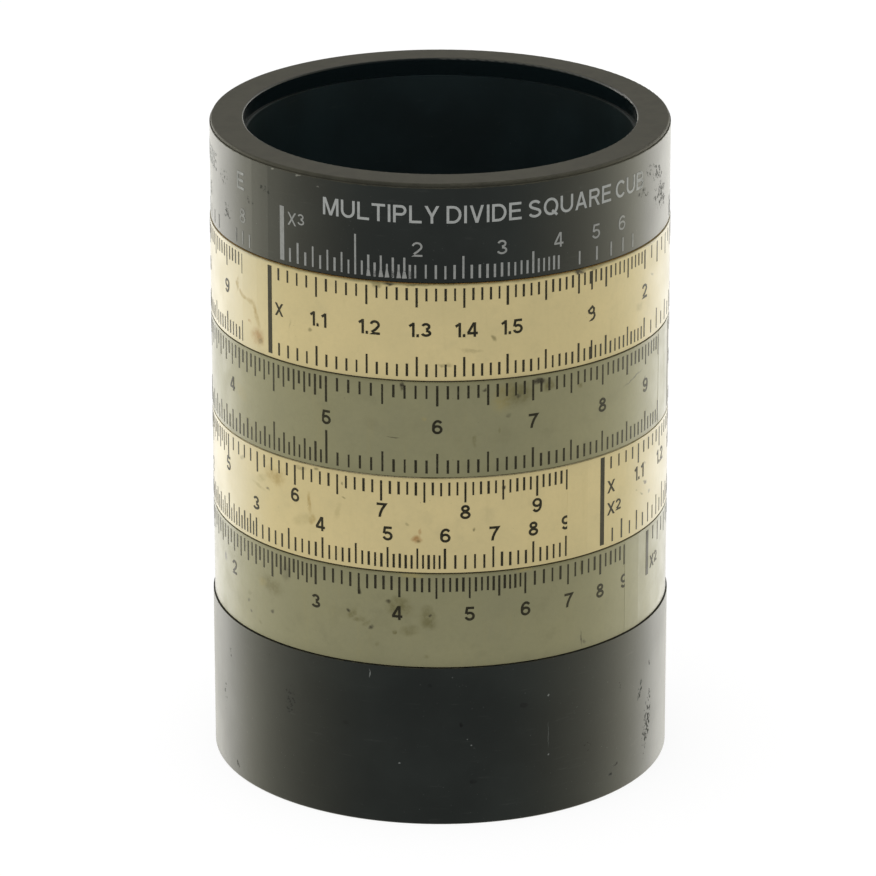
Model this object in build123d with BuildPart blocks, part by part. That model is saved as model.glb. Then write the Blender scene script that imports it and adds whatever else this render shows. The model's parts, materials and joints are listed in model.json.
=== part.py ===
from build123d import *
import os
from math import cos, radians, sin

# A slide rule made as a cylinder that stands on its end. Four printed rings turn one by one on a core tube,
# between a printed top collar and a plain base sleeve. Both ends are open, so the bore runs right through.
# Frame: millimetres, +Z up along the tube, origin at the centre of the base's lower face, front towards -Y.

# Driving dimensions
RING_FILM_R = 30.0  # outside of the printed film on a turning ring
COLLAR_FILM_R = 29.9  # outside of the printed film on the top collar
BASE_R = 30.2  # outside of the base sleeve
FILM_T = 0.15  # thickness of one layer of film
CORE_R = 27.2  # outside of the core tube
CORE_BORE_R = 25.2  # bore of the core tube
LIP_BORE_R = 25.5  # bore of the lips that hold the core tube at its two ends
LIP_H = 2.35  # height of each lip
BASE_H = 21.9  # height of the base sleeve
BAND_PITCH = 13.05  # height of one printed band
RING_COUNT = 4
RING_GAP = 0.07  # end play between one ring and the next
RUNNING_CLEARANCE = 0.08  # radial gap between the core tube and a ring's bore
FILM_MARGIN = 0.08  # bare strip of ring above and below its film
COLLAR_RIM_MARGIN = 0.5  # bare strip of collar above its film
END_EDGE = 0.25  # rounding of the rim's and the foot's edges
RING_EDGE = 0.12  # chamfer on the bore edges of a ring

# Each film is a strip wrapped once round, with its blank lead lapped over its own end.
# Bearings are degrees round the tube from the front (-Y) towards +X.
LEAD_ANGLE = 11.2  # blank lead, from the film's cut edge to its index line
LAP_RISE = 0.02  # how far the lead, rolled thin, stands proud of the film where it laps over
LAP_ANGLE = 6.3  # part of the lead that lies at full height on the layer below
LAP_RAMP = 3.8  # where the lead comes down onto the ring again
COLLAR_INDEX = -42.0
RING_INDEXES = (-46.3, 81.8, 44.1, 64.3)  # from the upper ring to the lower

# Worked out from the above
HEIGHT = BASE_H + (RING_COUNT + 1) * BAND_PITCH
COLLAR_BOTTOM = HEIGHT - BAND_PITCH
RING_SPACE = COLLAR_BOTTOM - BASE_H
RING_H = (RING_SPACE - (RING_COUNT + 1) * RING_GAP) / RING_COUNT


def at(radius, bearing):
    """Point on a circle round the tube's axis, at a bearing from the front."""
    return (radius * sin(radians(bearing)), -radius * cos(radians(bearing)))


def save(part, name):
    part.label = name
    export_step(part, f"parts/{name}.step")


def core_tube():
    """Inner tube that the rings turn on, held between the two lips."""
    with BuildPart() as tube:
        with BuildSketch(Plane.XY.offset(LIP_H)):
            Circle(CORE_R)
            Circle(CORE_BORE_R, mode=Mode.SUBTRACT)
        extrude(amount=HEIGHT - 2 * LIP_H)
    return tube.part


def end_sleeve(outer_r, sleeve_bottom, sleeve_top, lip_on_top):
    """Sleeve fixed on one end of the core tube, with a narrower lip over the tube's end."""
    seat_bottom = sleeve_bottom if lip_on_top else sleeve_bottom + LIP_H
    outer_end = -1 if lip_on_top else 0
    with BuildPart() as sleeve:
        with BuildSketch(Plane.XY.offset(sleeve_bottom)):
            Circle(outer_r)
            Circle(LIP_BORE_R, mode=Mode.SUBTRACT)
        extrude(amount=sleeve_top - sleeve_bottom)
        with BuildSketch(Plane.XY.offset(seat_bottom)):
            Circle(CORE_R)
        extrude(amount=sleeve_top - sleeve_bottom - LIP_H, mode=Mode.SUBTRACT)
        end_edges = sleeve.edges().filter_by(GeomType.CIRCLE).group_by(Axis.Z)[outer_end]
        fillet(end_edges, radius=END_EDGE)
    return sleeve.part


def scale_ring(ring_bottom):
    """Plain ring, free to turn on the core tube."""
    with BuildPart() as ring:
        with BuildSketch(Plane.XY.offset(ring_bottom)):
            Circle(RING_FILM_R - FILM_T)
            Circle(CORE_R + RUNNING_CLEARANCE, mode=Mode.SUBTRACT)
        extrude(amount=RING_H)
        bore_edges = ring.edges().filter_by(GeomType.CIRCLE).group_by(SortBy.RADIUS)[0]
        chamfer(bore_edges, length=RING_EDGE)
    return ring.part


def wrapped_film(outer_r, film_bottom, film_top, index_bearing):
    """One turn of film with its lapped lead, whose cut edge stands slightly proud."""
    cut = index_bearing - LEAD_ANGLE
    lap_end = cut + LAP_ANGLE
    ramp_end = lap_end + LAP_RAMP
    proud_r = outer_r + LAP_RISE
    buried_r = outer_r - FILM_T / 2
    with BuildPart() as film:
        with BuildSketch(Plane.XY.offset(film_bottom)):
            Circle(outer_r)
            with BuildLine():
                Line(at(buried_r, cut), at(proud_r, cut))
                ThreePointArc(at(proud_r, cut), at(proud_r, cut + LAP_ANGLE / 2), at(proud_r, lap_end))
                Polyline(at(proud_r, lap_end), at(outer_r, ramp_end), at(buried_r, ramp_end))
                ThreePointArc(at(buried_r, ramp_end), at(buried_r, (cut + ramp_end) / 2), at(buried_r, cut))
            make_face()
            Circle(outer_r - FILM_T, mode=Mode.SUBTRACT)
        extrude(amount=film_top - film_bottom)
    return film.part


os.makedirs("parts", exist_ok=True)

save(core_tube(), "core_tube")
save(end_sleeve(COLLAR_FILM_R - FILM_T, COLLAR_BOTTOM, HEIGHT, lip_on_top=True), "top_collar")
save(end_sleeve(BASE_R, 0, BASE_H, lip_on_top=False), "base_sleeve")
save(
    wrapped_film(COLLAR_FILM_R, COLLAR_BOTTOM + FILM_MARGIN, HEIGHT - COLLAR_RIM_MARGIN, COLLAR_INDEX),
    "collar_film",
)

for number, index_bearing in enumerate(RING_INDEXES, start=1):
    ring_top = COLLAR_BOTTOM - RING_GAP - (number - 1) * (RING_H + RING_GAP)
    ring_bottom = ring_top - RING_H
    save(scale_ring(ring_bottom), f"scale_ring_{number}")
    save(
        wrapped_film(RING_FILM_R, ring_bottom + FILM_MARGIN, ring_top - FILM_MARGIN, index_bearing),
        f"scale_film_{number}",
    )
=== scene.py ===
import json
import math
import random

import bpy
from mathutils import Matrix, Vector
from mathutils.geometry import delaunay_2d_cdt

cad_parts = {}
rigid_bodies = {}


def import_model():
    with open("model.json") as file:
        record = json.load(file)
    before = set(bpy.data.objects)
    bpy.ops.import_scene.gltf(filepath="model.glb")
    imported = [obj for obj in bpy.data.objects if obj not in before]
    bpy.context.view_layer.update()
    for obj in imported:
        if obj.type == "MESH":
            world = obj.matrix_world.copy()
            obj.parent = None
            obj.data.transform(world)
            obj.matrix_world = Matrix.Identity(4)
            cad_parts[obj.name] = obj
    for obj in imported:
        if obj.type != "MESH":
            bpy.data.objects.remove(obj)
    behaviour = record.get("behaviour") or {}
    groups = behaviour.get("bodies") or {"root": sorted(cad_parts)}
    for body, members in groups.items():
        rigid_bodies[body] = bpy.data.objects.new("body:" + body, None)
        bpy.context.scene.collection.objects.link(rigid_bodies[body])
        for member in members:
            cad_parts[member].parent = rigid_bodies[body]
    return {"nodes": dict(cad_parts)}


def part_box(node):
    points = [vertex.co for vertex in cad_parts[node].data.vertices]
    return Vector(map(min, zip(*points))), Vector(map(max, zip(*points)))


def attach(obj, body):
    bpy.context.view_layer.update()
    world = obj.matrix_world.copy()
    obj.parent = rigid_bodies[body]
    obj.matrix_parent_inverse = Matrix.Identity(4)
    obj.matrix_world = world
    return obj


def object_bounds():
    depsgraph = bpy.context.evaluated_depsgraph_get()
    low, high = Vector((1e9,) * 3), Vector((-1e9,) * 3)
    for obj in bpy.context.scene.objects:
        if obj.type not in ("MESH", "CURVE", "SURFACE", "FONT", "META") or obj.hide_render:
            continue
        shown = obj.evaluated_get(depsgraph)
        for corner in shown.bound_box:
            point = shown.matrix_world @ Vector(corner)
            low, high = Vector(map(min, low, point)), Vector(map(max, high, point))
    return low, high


# Looks of the cylindrical slide rule: printed scales as thin raised ink, aged films, scuffed black tube.
# The frame is in metres. Drawing sizes below are in millimetres, bearings in degrees round the tube from
# the front (-Y) towards +X, and depths on a band are measured down from the band's upper edge.

for leftover in list(bpy.data.objects):
    bpy.data.objects.remove(leftover)
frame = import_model()
cad_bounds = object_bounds()

MM = 0.001
FILM_T = 0.15  # one layer of film
INK_T = 0.02  # how far the ink stands above its film
INK_ROOT = 0.05  # how far the ink reaches into its film
COLLAR_INDEX = -42  # bearings of the index lines
RING_INDEX = {1: -46.3, 2: 81.8, 3: 44.1, 4: 64.3}
LEAD_ANGLE = 11.2  # blank lead, from a film's cut edge to its index line
X_DECADES = (356.6,)  # degrees that each decade of the X scale takes up, one after another from the index
SQUARE_DECADES = (178.3, 178.3)
CUBE_DECADES = (119.6, 118.2, 118.2)
EDGE_GAP = 0.5  # from a film's edge to the foot of its graduations
TICK_W = 0.27
INDEX_W = 0.72
NUMERAL_H = 1.92
NUMERAL_PEN = 0.17  # pen widths are fractions of the character's height
NUMERAL_STRETCH = 1.12  # numerals are a little wider than the strokes below draw them
COLLAR_NUMERAL_PEN = 0.13
LABEL_H = 1.7
LABEL_DRIFT = (0, 0.15, 0.3, 0.05, 0.6)  # how far right the labels 1.1 to 1.5 are printed, in degrees
GAUGE_H = 2  # the gauge mark for angles stands at pi / 1.8 on the X scale of ring 1
GAUGE_PEN = 0.15
GAUGE_TICK = 2.5
GAUGE_ANGLE = X_DECADES[0] * math.log10(math.pi / 1.8)
LEGEND_H = 2.3
LEGEND_PEN = 0.145
WORD_GAP = 0.39
LEGEND = "MULTIPLY DIVIDE SQUARE CUBE"
LEGEND_STARTS = (-29.5, 90.2, 209.9)
# How far from their graduations some numerals are printed, in degrees
SQUARE_DRIFT = {4: -0.55, 6: 0.1, 7: 0.15}
CUBE_DRIFT = {2: 0.45, 5: -0.3, 6: -0.45}
# Bearings between which thumbs have rubbed the collar's print away
RUBBED = ((-72, -62), (56.5, 80))
RUBBED_LEGEND = ((-72, -62.5), (60.5, 80))

# Depth of each row of figures below its band's upper edge
ROW_1 = 6.06
ROW_1_GAUGE = 6.2
ROW_2 = 6
ROW_3_UPPER = 4.55
ROW_3_UPPER_LABEL = 4.6
ROW_3_LOWER = 7.7
ROW_3_LOWER_LABEL = 7.65
ROW_4 = 5.5
ROW_4_LABEL = 5.3
ROW_4_INDEX = 6.7  # where the index line of ring 4 ends
COLLAR_ROW = 8.1
COLLAR_ROW_LABEL = 6.2
COLLAR_ROW_LEGEND = 3.5
COLLAR_INDEX_TOP = 7.7  # above the collar film's lower edge

# Graduations as (from, to, step)
X_STEPS = ((1, 2, 0.02), (2, 5, 0.05), (5, 10, 0.1))
SQUARE_STEPS = ((1, 3, 0.05), (3, 6, 0.1), (6, 10, 0.2))
CUBE_STEPS = ((1, 2, 0.05), (2, 4, 0.1), (4, 10, 0.5))
BLED_VALUES = (1.6, 1.95)  # the cubes graduations between these have run together at their feet


def spread(node):
    """Lower and upper height of a CAD node, in millimetres."""
    low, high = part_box(node)
    return low.z / MM, high.z / MM


def outer_radius(node):
    """Outer radius of a CAD node, in millimetres."""
    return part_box(node)[1].x / MM


# ---- characters


def arc(cx, cy, rx, ry, start, stop, step=15):
    """Points on an ellipse, from one angle to another in degrees."""
    count = max(2, round(abs(stop - start) / step))
    angles = [math.radians(start + (stop - start) * i / count) for i in range(count + 1)]
    return [(cx + rx * math.cos(a), cy + ry * math.sin(a)) for a in angles]


def numeral_strokes(character, h):
    """Centre lines and width of a numeral one unit tall. h is half the pen's width."""
    top = 1 - h
    if character == "1":
        return [[(0.36, 0), (0.36, 1)], [(0.33, 0.9), (0.12, 0.745)]], 0.44
    if character == "2":
        bend = arc(0.32, 0.69, 0.32 - h, 0.31 - h, 172, -38)
        return [bend + [(0.36, 0.36), (0.13, 0.17), (h + 0.01, h), (0.63, h)]], 0.64
    if character == "3":
        upper = arc(0.31, 0.745, 0.28 - h, 0.255 - h, 165, -90)
        lower = arc(0.32, 0.285, 0.32 - h, 0.32 - h * 1.9, 90, -168)
        return [upper, lower], 0.64
    if character == "4":
        return [[(0.46, 0), (0.46, 1)], [(0.43, 1), (0.06, 0.27)], [(0.02, 0.255), (0.64, 0.255)]], 0.66
    if character == "5":
        bowl = arc(0.32, 0.325, 0.32 - h, 0.325 - h, 138, -165)
        return [[(0.58, top), (0.165, top), (0.105, 0.5)], bowl], 0.64
    if character == "6":
        bowl = arc(0.32, 0.32, 0.32 - h, 0.32 - h, 0, 360)
        back = arc(0.35, 0.5, 0.35 - h, 0.5 - h, 42, 180) + [(h, 0.34)]
        return [bowl, back], 0.64
    if character == "7":
        return [[(0.03, top), (0.57, top), (0.36, 0.55), (0.25, 0.24), (0.215, 0)]], 0.62
    if character == "8":
        upper = arc(0.32, 0.745, 0.27 - h, 0.255 - h, 0, 360)
        return [upper, arc(0.32, 0.28, 0.32 - h, 0.28 - h, 0, 360)], 0.64
    if character == "9":
        strokes, width = numeral_strokes("6", h)
        return [[(width - x, 1 - y) for x, y in stroke] for stroke in strokes], width
    if character == ".":
        return [[(h, 0), (h, h * 2.4)]], h * 2
    if character == "gauge":
        loop = [(0.08, 0.72), (0.34, 0.95), (0.47, 0.8), (0.44, 0.56), (0.28, 0.5), (0.12, 0.58)]
        tail = [(0.4, 0.56), (0.5, 0.45), (0.52, 0.3), (0.44, 0.15), (0.22, 0.0)]
        return [loop + loop[:1], tail], 0.6
    raise ValueError(character)


def letter_strokes(character, h):
    """Centre lines and width of a capital one unit tall. h is half the pen's width."""
    top = 1 - h
    if character == "X":
        return [[(0.09, 0), (0.75, 1)], [(0.75, 0), (0.09, 1)]], 0.84
    if character == "M":
        sides = [[(h, 0), (h, 1)], [(0.96 - h, 0), (0.96 - h, 1)]]
        return sides + [[(h + 0.04, 1), (0.48, 0)], [(0.48, 0), (0.92 - h, 1)]], 0.96
    if character == "U":
        return [[(h, 1)] + arc(0.41, 0.41, 0.41 - h, 0.41 - h, 180, 360) + [(0.82 - h, 1)]], 0.82
    if character == "L":
        return [[(h, 1), (h, h), (0.68, h)]], 0.68
    if character == "T":
        return [[(0, top), (0.76, top)], [(0.38, 0), (0.38, top)]], 0.76
    if character == "I":
        return [[(h, 0), (h, 1)]], h * 2
    if character == "P":
        return [[(h, 0), (h, top)] + arc(0.44, 0.7, 0.3 - h, 0.3 - h, 90, -90) + [(h, 0.4 + h)]], 0.74
    if character == "Y":
        return [[(0.09, 1), (0.41, 0.4)], [(0.73, 1), (0.41, 0.4)], [(0.41, 0), (0.41, 0.46)]], 0.82
    if character == "D":
        return [[(h, 0.5), (h, top)] + arc(0.36, 0.5, 0.45 - h, 0.5 - h, 90, -90) + [(h, h), (h, 0.5)]], 0.81
    if character == "V":
        return [[(0.09, 1), (0.4, 0)], [(0.4, 0), (0.71, 1)]], 0.8
    if character == "E":
        return [[(0.7, top), (h, top), (h, h), (0.72, h)], [(h, 0.52), (0.66, 0.52)]], 0.72
    if character == "S":
        upper = arc(0.39, 0.735, 0.35 - h, 0.265 - h, 18, 245)
        return [upper + arc(0.4, 0.275, 0.38 - h, 0.275 - h, 68, -165)], 0.78
    if character == "Q":
        return [arc(0.45, 0.5, 0.45 - h, 0.5 - h, 0, 360), [(0.52, 0.27), (0.84, -0.02)]], 0.9
    if character == "A":
        return [[(0.08, 0), (0.41, 1)], [(0.41, 1), (0.74, 0)], [(0.2, 0.3), (0.62, 0.3)]], 0.82
    if character == "R":
        bowl = [(h, 0), (h, top)] + arc(0.48, 0.72, 0.28 - h, 0.28 - h, 90, -90) + [(h, 0.44 + h)]
        return [bowl, [(0.42, 0.5), (0.7, 0)]], 0.8
    if character == "C":
        return [arc(0.43, 0.5, 0.43 - h, 0.5 - h, 38, 322)], 0.82
    if character == "B":
        upper = [(h, 0.5), (h, top)] + arc(0.48, 0.745, 0.26 - h, 0.255 - h, 90, -90) + [(h, 0.49 + h)]
        lower = [(h, 0.57 - h)] + arc(0.48, 0.285, 0.31 - h, 0.285 - h, 90, -90) + [(h, h), (h, 0.5)]
        return [upper, lower], 0.79
    raise ValueError(character)


def ribbon(stroke, width):
    """Quads along a centre line, mitred at its corners and cut level where it ends at the top or foot."""
    closed = math.dist(stroke[0], stroke[-1]) < 1e-6
    points = [Vector(p) for p in stroke]
    if closed:
        points.pop()
    count = len(points)
    sides = []
    for i, point in enumerate(points):
        before = points[i - 1] if (i or closed) else None
        after = points[(i + 1) % count] if (i < count - 1 or closed) else None
        way_in = (point - before).normalized() if before else (after - point).normalized()
        way_out = (after - point).normalized() if after else way_in
        side_in = Vector((-way_in.y, way_in.x))
        middle = (side_in + Vector((-way_out.y, way_out.x))).normalized()
        is_end = before is None or after is None
        if is_end and point.y in (0, 1) and abs(way_in.y) > 0.3:
            middle = Vector((-math.copysign(1, way_in.y), 0))
        offset = middle * (width / 2 / max(middle.dot(side_in), 0.3))
        sides.append((point + offset, point - offset))
    quads = []
    for i in range(count if closed else count - 1):
        (a, b), (c, d) = sides[i], sides[(i + 1) % count]
        quads.append([b, d, c, a])
    return quads


def clipped(polygon, limit):
    """The part of a convex polygon left of x = limit."""
    kept = []
    for i, point in enumerate(polygon):
        before = polygon[i - 1]
        if (before.x < limit) != (point.x < limit):
            share = (limit - before.x) / (point.x - before.x)
            kept.append(before.lerp(point, share))
        if point.x < limit:
            kept.append(point)
    return kept


# ---- ink on a band


class Ink:
    """Printed marks on one band. Flat polygons in (arc millimetres, height) become thin closed shells."""

    def __init__(self, radius, low, high, index, rubbed=()):
        self.radius = radius
        self.low = low
        self.high = high
        self.index = index
        self.rubbed = rubbed
        self.verts = []
        self.faces = []

    def arc_at(self, bearing):
        """Millimetres round the band from the front to a bearing."""
        return self.radius * math.radians(bearing)

    def shell(self, polygons):
        """Unites polygons and wraps them on the band.

        Nothing is left past the film's cut edge, or where the print is rubbed away.
        """
        middle = math.degrees(polygons[0][0].x / self.radius)
        turn = (middle + 180) % 360 - 180
        if any(start < turn < stop for start, stop in self.rubbed):
            return
        limit = self.arc_at(self.index + 360 - LEAD_ANGLE)
        polygons = [p for p in (clipped(q, limit) for q in polygons) if len(p) > 2]
        if not polygons:
            return
        points = [v for polygon in polygons for v in polygon]
        rings, first = [], 0
        for polygon in polygons:
            rings.append(list(range(first, first + len(polygon))))
            first += len(polygon)
        flat, _, triangles, _, _, sources = delaunay_2d_cdt(points, [], rings, 1, 1e-5)
        triangles = [t for t, source in zip(triangles, sources) if source]
        used = sorted({i for t in triangles for i in t})
        place = {old: new for new, old in enumerate(used)}
        base, count = len(self.verts), len(used)
        for r in (self.radius + INK_T, self.radius - INK_ROOT):
            for i in used:
                a = flat[i].x / self.radius
                self.verts.append((r * math.sin(a) * MM, -r * math.cos(a) * MM, flat[i].y * MM))
        rim = set()
        for t in triangles:
            a, b, c = (place[i] + base for i in t)
            self.faces.append((a, b, c))
            self.faces.append((c + count, b + count, a + count))
            for edge in ((a, b), (b, c), (c, a)):
                if edge[::-1] in rim:
                    rim.remove(edge[::-1])
                else:
                    rim.add(edge)
        for a, b in sorted(rim):
            self.faces.append((b, a, a + count, b + count))

    def box(self, bearing, width, low, high):
        """An upright stroke with square ends."""
        middle = self.arc_at(bearing)
        half = width / 2
        corners = [(middle - half, low), (middle + half, low), (middle + half, high), (middle - half, high)]
        self.shell([[Vector(c) for c in corners]])

    def text(
        self, characters, bearing, base, height, pen, gap=0.18, centred=True, strokes_of=numeral_strokes
    ):
        """Characters set side by side on the band, and the bearing where they end."""
        stretch = NUMERAL_STRETCH if strokes_of is numeral_strokes else 1
        drawn, x = [], 0
        for character in characters:
            if character == " ":
                x += WORD_GAP - gap
                continue
            strokes, width = strokes_of(character, pen / 2)
            drawn.append(([[(px * stretch, py) for px, py in stroke] for stroke in strokes], x))
            x += width * stretch + gap
        total = (x - gap) * height
        left = self.arc_at(bearing) - (total / 2 if centred else 0)
        for strokes, shift in drawn:
            polygons = [quad for stroke in strokes for quad in ribbon(stroke, pen)]
            origin = Vector((left + shift * height, base))
            self.shell([[origin + v * height for v in polygon] for polygon in polygons])
        return math.degrees((left + total) / self.radius)

    def make(self, name, body, material, slot):
        """Makes everything drawn so far one piece that rides on a body."""
        mesh = bpy.data.meshes.new(name)
        mesh.from_pydata(self.verts, [], self.faces)
        mesh.materials.append(material)
        piece = bpy.data.objects.new(name, mesh)
        bpy.context.scene.collection.objects.link(piece)
        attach(piece, body)


def values(steps):
    """Every graduated value of a scale once, from 1 up to but not including 10."""
    found = []
    for start, stop, step in steps:
        found += [round(start + step * i, 3) for i in range(round((stop - start) / step))]
    return found


def is_multiple(value, step):
    """Whether a graduated value is a whole number of steps."""
    return abs(value / step - round(value / step)) < 1e-4


def x_length(value, lower_edge):
    """Length of an X graduation, in millimetres."""
    if value == 5:
        return 4.5 if lower_edge else 3.4
    if value <= 2:
        return 2.6 if is_multiple(value, 0.1) else 1.65
    if value < 5:
        if is_multiple(value, 0.5) and not is_multiple(value, 1):
            return 3.8
        return 2.75 if is_multiple(value, 0.1) else 1.75
    return 2.7 if is_multiple(value, 0.5) else 1.75


def square_length(value, lower_edge):
    """Length of a squares graduation, the same at either edge."""
    if value < 3 and is_multiple(value, 0.5) and not is_multiple(value, 1):
        return 3.5
    if value <= 3:
        return 2.65 if is_multiple(value, 0.1) else 1.85
    return 2.8 if is_multiple(value, 0.5) and (value < 6 or is_multiple(value, 1)) else 1.9


def cube_length(value, lower_edge):
    """Length of a cubes graduation."""
    if value == 1.5:
        return 5.3
    if value in (2.5, 3.5):
        return 2.9
    return 2.7 if value < 2 and is_multiple(value, 0.1) else 1.8


def places(found, decades):
    """Each value's angle from the index line, decade after decade."""
    start = 0
    for decade in decades:
        for value in found:
            yield value, start + decade * math.log10(value)
        start += decade


def graduate(ink, steps, decades, length, lower_edge, wobble):
    """Rules one scale along an edge of a band, but leaves the index line's own place free."""
    for value, angle in places(values(steps), decades):
        if angle == 0:
            continue
        reach = length(value, lower_edge) + wobble.uniform(-0.05, 0.07)
        foot = EDGE_GAP + wobble.uniform(-0.04, 0.04)
        width = TICK_W * wobble.uniform(0.85, 1.2)
        if lower_edge:
            ink.box(ink.index + angle, width, ink.low + foot, ink.low + foot + reach)
        else:
            ink.box(ink.index + angle, width, ink.high - foot - reach, ink.high - foot)


def numerals(ink, decades, depth, pen=NUMERAL_PEN, drift=None):
    """Whole numbers of a scale, on their graduations at a depth below the band's upper edge."""
    base = ink.high - depth - NUMERAL_H / 2
    for value, angle in places(range(1, 10), decades):
        if angle > 0:
            bearing = ink.index + angle + (drift or {}).get(value, 0)
            ink.text(str(value), bearing, base, NUMERAL_H, pen)


def decimals(ink, depth):
    """The labels 1.1 to 1.5, with the point on the graduation."""
    base = ink.high - depth - NUMERAL_H / 2
    for tenth, drift in enumerate(LABEL_DRIFT, start=1):
        bearing = ink.index + X_DECADES[0] * math.log10(1 + tenth / 10)
        ink.text(f"1.{tenth}", bearing + 0.35 + drift, base, NUMERAL_H, NUMERAL_PEN, gap=0.1)


def index_line(ink, low, high):
    """The heavy line that a scale starts from."""
    ink.box(ink.index, INDEX_W, low, high)


def power_label(ink, power, depth, pen=NUMERAL_PEN):
    """The scale's name just right of its index line: X, X2 or X3 with a raised figure."""
    start = ink.index + math.degrees((INDEX_W / 2 + 0.6) / ink.radius)
    base = ink.high - depth - LABEL_H / 2
    end = ink.text("X", start, base, LABEL_H, pen, centred=False, strokes_of=letter_strokes)
    if power > 1:
        figure = LABEL_H * 0.88
        raised = base + LABEL_H - figure * 0.95
        start = end + math.degrees(0.2 / ink.radius)
        ink.text(str(power), start, raised, figure, pen, centred=False)


def bled_feet(ink, first, last):
    """Flared feet of the cube graduations where the ink has run between them."""
    for value, angle in places(values(CUBE_STEPS), CUBE_DECADES[:1]):
        if first <= value <= last:
            middle = ink.arc_at(ink.index + angle)
            wide = 0.24 + 0.1 * math.sin(value * 41)
            foot = ink.low + EDGE_GAP - 0.06
            corners = [(middle - wide, foot), (middle + wide * 1.1, foot + 0.04)]
            corners += [(middle + 0.13, foot + 0.95), (middle - 0.13, foot + 1.1)]
            ink.shell([[Vector(c) for c in corners]])


# ---- materials


def feed(tree, socket, value):
    """Links a socket to another one, or sets it to a constant."""
    if isinstance(value, bpy.types.NodeSocket):
        tree.links.new(value, socket)
    else:
        socket.default_value = value


class Shader:
    """A material's node tree, with short calls for the node kinds used here."""

    def __init__(self, name):
        self.material = bpy.data.materials.new(name)
        self.material.use_nodes = True
        self.tree = self.material.node_tree
        self.surface = self.tree.nodes["Principled BSDF"]
        self.place = self.add("ShaderNodeTexCoord").outputs["Object"]
        self.wandering = self.place

    def add(self, kind, **settings):
        node = self.tree.nodes.new(kind)
        for name, value in settings.items():
            setattr(node, name, value)
        return node

    def feed(self, socket, value):
        feed(self.tree, socket, value)

    def math(self, operation, a, b=0.0):
        node = self.add("ShaderNodeMath", operation=operation)
        self.feed(node.inputs[0], a)
        self.feed(node.inputs[1], b)
        return node.outputs[0]

    def times(self, a, b):
        return self.math("MULTIPLY", a, b)

    def vector(self, operation, *values):
        node = self.add("ShaderNodeVectorMath", operation=operation)
        for socket, value in zip(node.inputs, values):
            self.feed(socket, value)
        return node

    def span(self, value, low, high, out_low=0.0, out_high=1.0):
        """value carried smoothly from one range to another, and held at its ends."""
        node = self.add("ShaderNodeMapRange", interpolation_type="SMOOTHSTEP")
        for socket, given in zip(node.inputs, (value, low, high, out_low, out_high)):
            self.feed(socket, given)
        return node.outputs[0]

    def noise(self, size_mm, detail=3.0, roughness=0.55, stretch=(1, 1, 1), offset=0.0):
        """Noise from 0 to 1 with features about size_mm across, longer where stretch is above 1."""
        mapping = self.add("ShaderNodeMapping")
        self.feed(mapping.inputs["Vector"], self.place)
        mapping.inputs["Location"].default_value = (offset, offset, offset)
        mapping.inputs["Scale"].default_value = tuple(1 / (size_mm * MM * s) for s in stretch)
        node = self.add("ShaderNodeTexNoise")
        self.feed(node.inputs["Vector"], mapping.outputs[0])
        node.inputs["Scale"].default_value = 1.0
        node.inputs["Detail"].default_value = detail
        node.inputs["Roughness"].default_value = roughness
        return node.outputs["Fac"]

    def mix(self, factor, a, b):
        """Colour a turned into b by the factor."""
        node = self.add("ShaderNodeMix", data_type="RGBA")
        self.feed(node.inputs[0], factor)
        self.feed(node.inputs[6], a)
        self.feed(node.inputs[7], b)
        return node.outputs[2]

    def part(self, axis):
        """One coordinate of the surface's place, in metres. Axis 2 is its height."""
        node = self.add("ShaderNodeSeparateXYZ")
        self.feed(node.inputs[0], self.place)
        return node.outputs[axis]

    def from_axis(self):
        """Distance from the tube's axis, in millimetres."""
        flat = self.vector("MULTIPLY", self.place, (1 / MM, 1 / MM, 0)).outputs[0]
        return self.vector("LENGTH", flat).outputs["Value"]

    def spot(self, radius, bearing, height, wide, tall, tilt=0.0, soft=0.6):
        """1 inside a blot of that size on the tube's wall, 0 outside, with a wandering outline."""
        a = math.radians(bearing)
        mapping = self.add("ShaderNodeMapping", vector_type="TEXTURE")
        self.feed(mapping.inputs["Vector"], self.wandering)
        centre = (radius * math.sin(a) * MM, -radius * math.cos(a) * MM, height * MM)
        mapping.inputs["Location"].default_value = centre
        mapping.inputs["Rotation"].default_value = (0, math.radians(tilt), a)
        mapping.inputs["Scale"].default_value = (wide / 2 * MM, SPOT_REACH * MM, tall / 2 * MM)
        distance = self.vector("LENGTH", mapping.outputs[0]).outputs["Value"]
        return self.span(distance, 1.0 + soft * 0.4, 1.0 - soft * 0.6)

    def blots(self, colour, radius, high, marks, soft=0.6):
        """Lays each mark of a list over the colour, mottled inside."""
        mottle = self.span(self.noise(0.7, detail=4.0, roughness=0.65), 0.35, 0.62, 0.7, 1.4)
        for bearing, depth, wide, tall, tilt, strength, mark_colour in marks:
            inside = self.spot(radius, bearing, high - depth, wide, tall, tilt, soft)
            amount = self.times(inside, self.times(mottle, strength))
            colour = self.mix(amount, colour, mark_colour)
        return colour

    def wander(self, size_mm, reach_mm):
        """Sets self.wandering, the surface's place shaken a little, for outlines that aren't smooth."""
        node = self.add("ShaderNodeTexNoise")
        self.feed(node.inputs["Vector"], self.place)
        node.inputs["Scale"].default_value = 1 / (size_mm * MM)
        node.inputs["Detail"].default_value = 3.0
        centred = self.vector("SUBTRACT", node.outputs["Color"], (0.5, 0.5, 0.5)).outputs[0]
        reach = (reach_mm * MM * 2,) * 3
        self.wandering = self.vector("MULTIPLY_ADD", centred, reach, self.place).outputs[0]

    def bump(self, height, depth_mm):
        node = self.add("ShaderNodeBump")
        node.inputs["Distance"].default_value = depth_mm * MM
        self.feed(node.inputs["Height"], height)
        self.feed(self.surface.inputs["Normal"], node.outputs[0])

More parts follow.
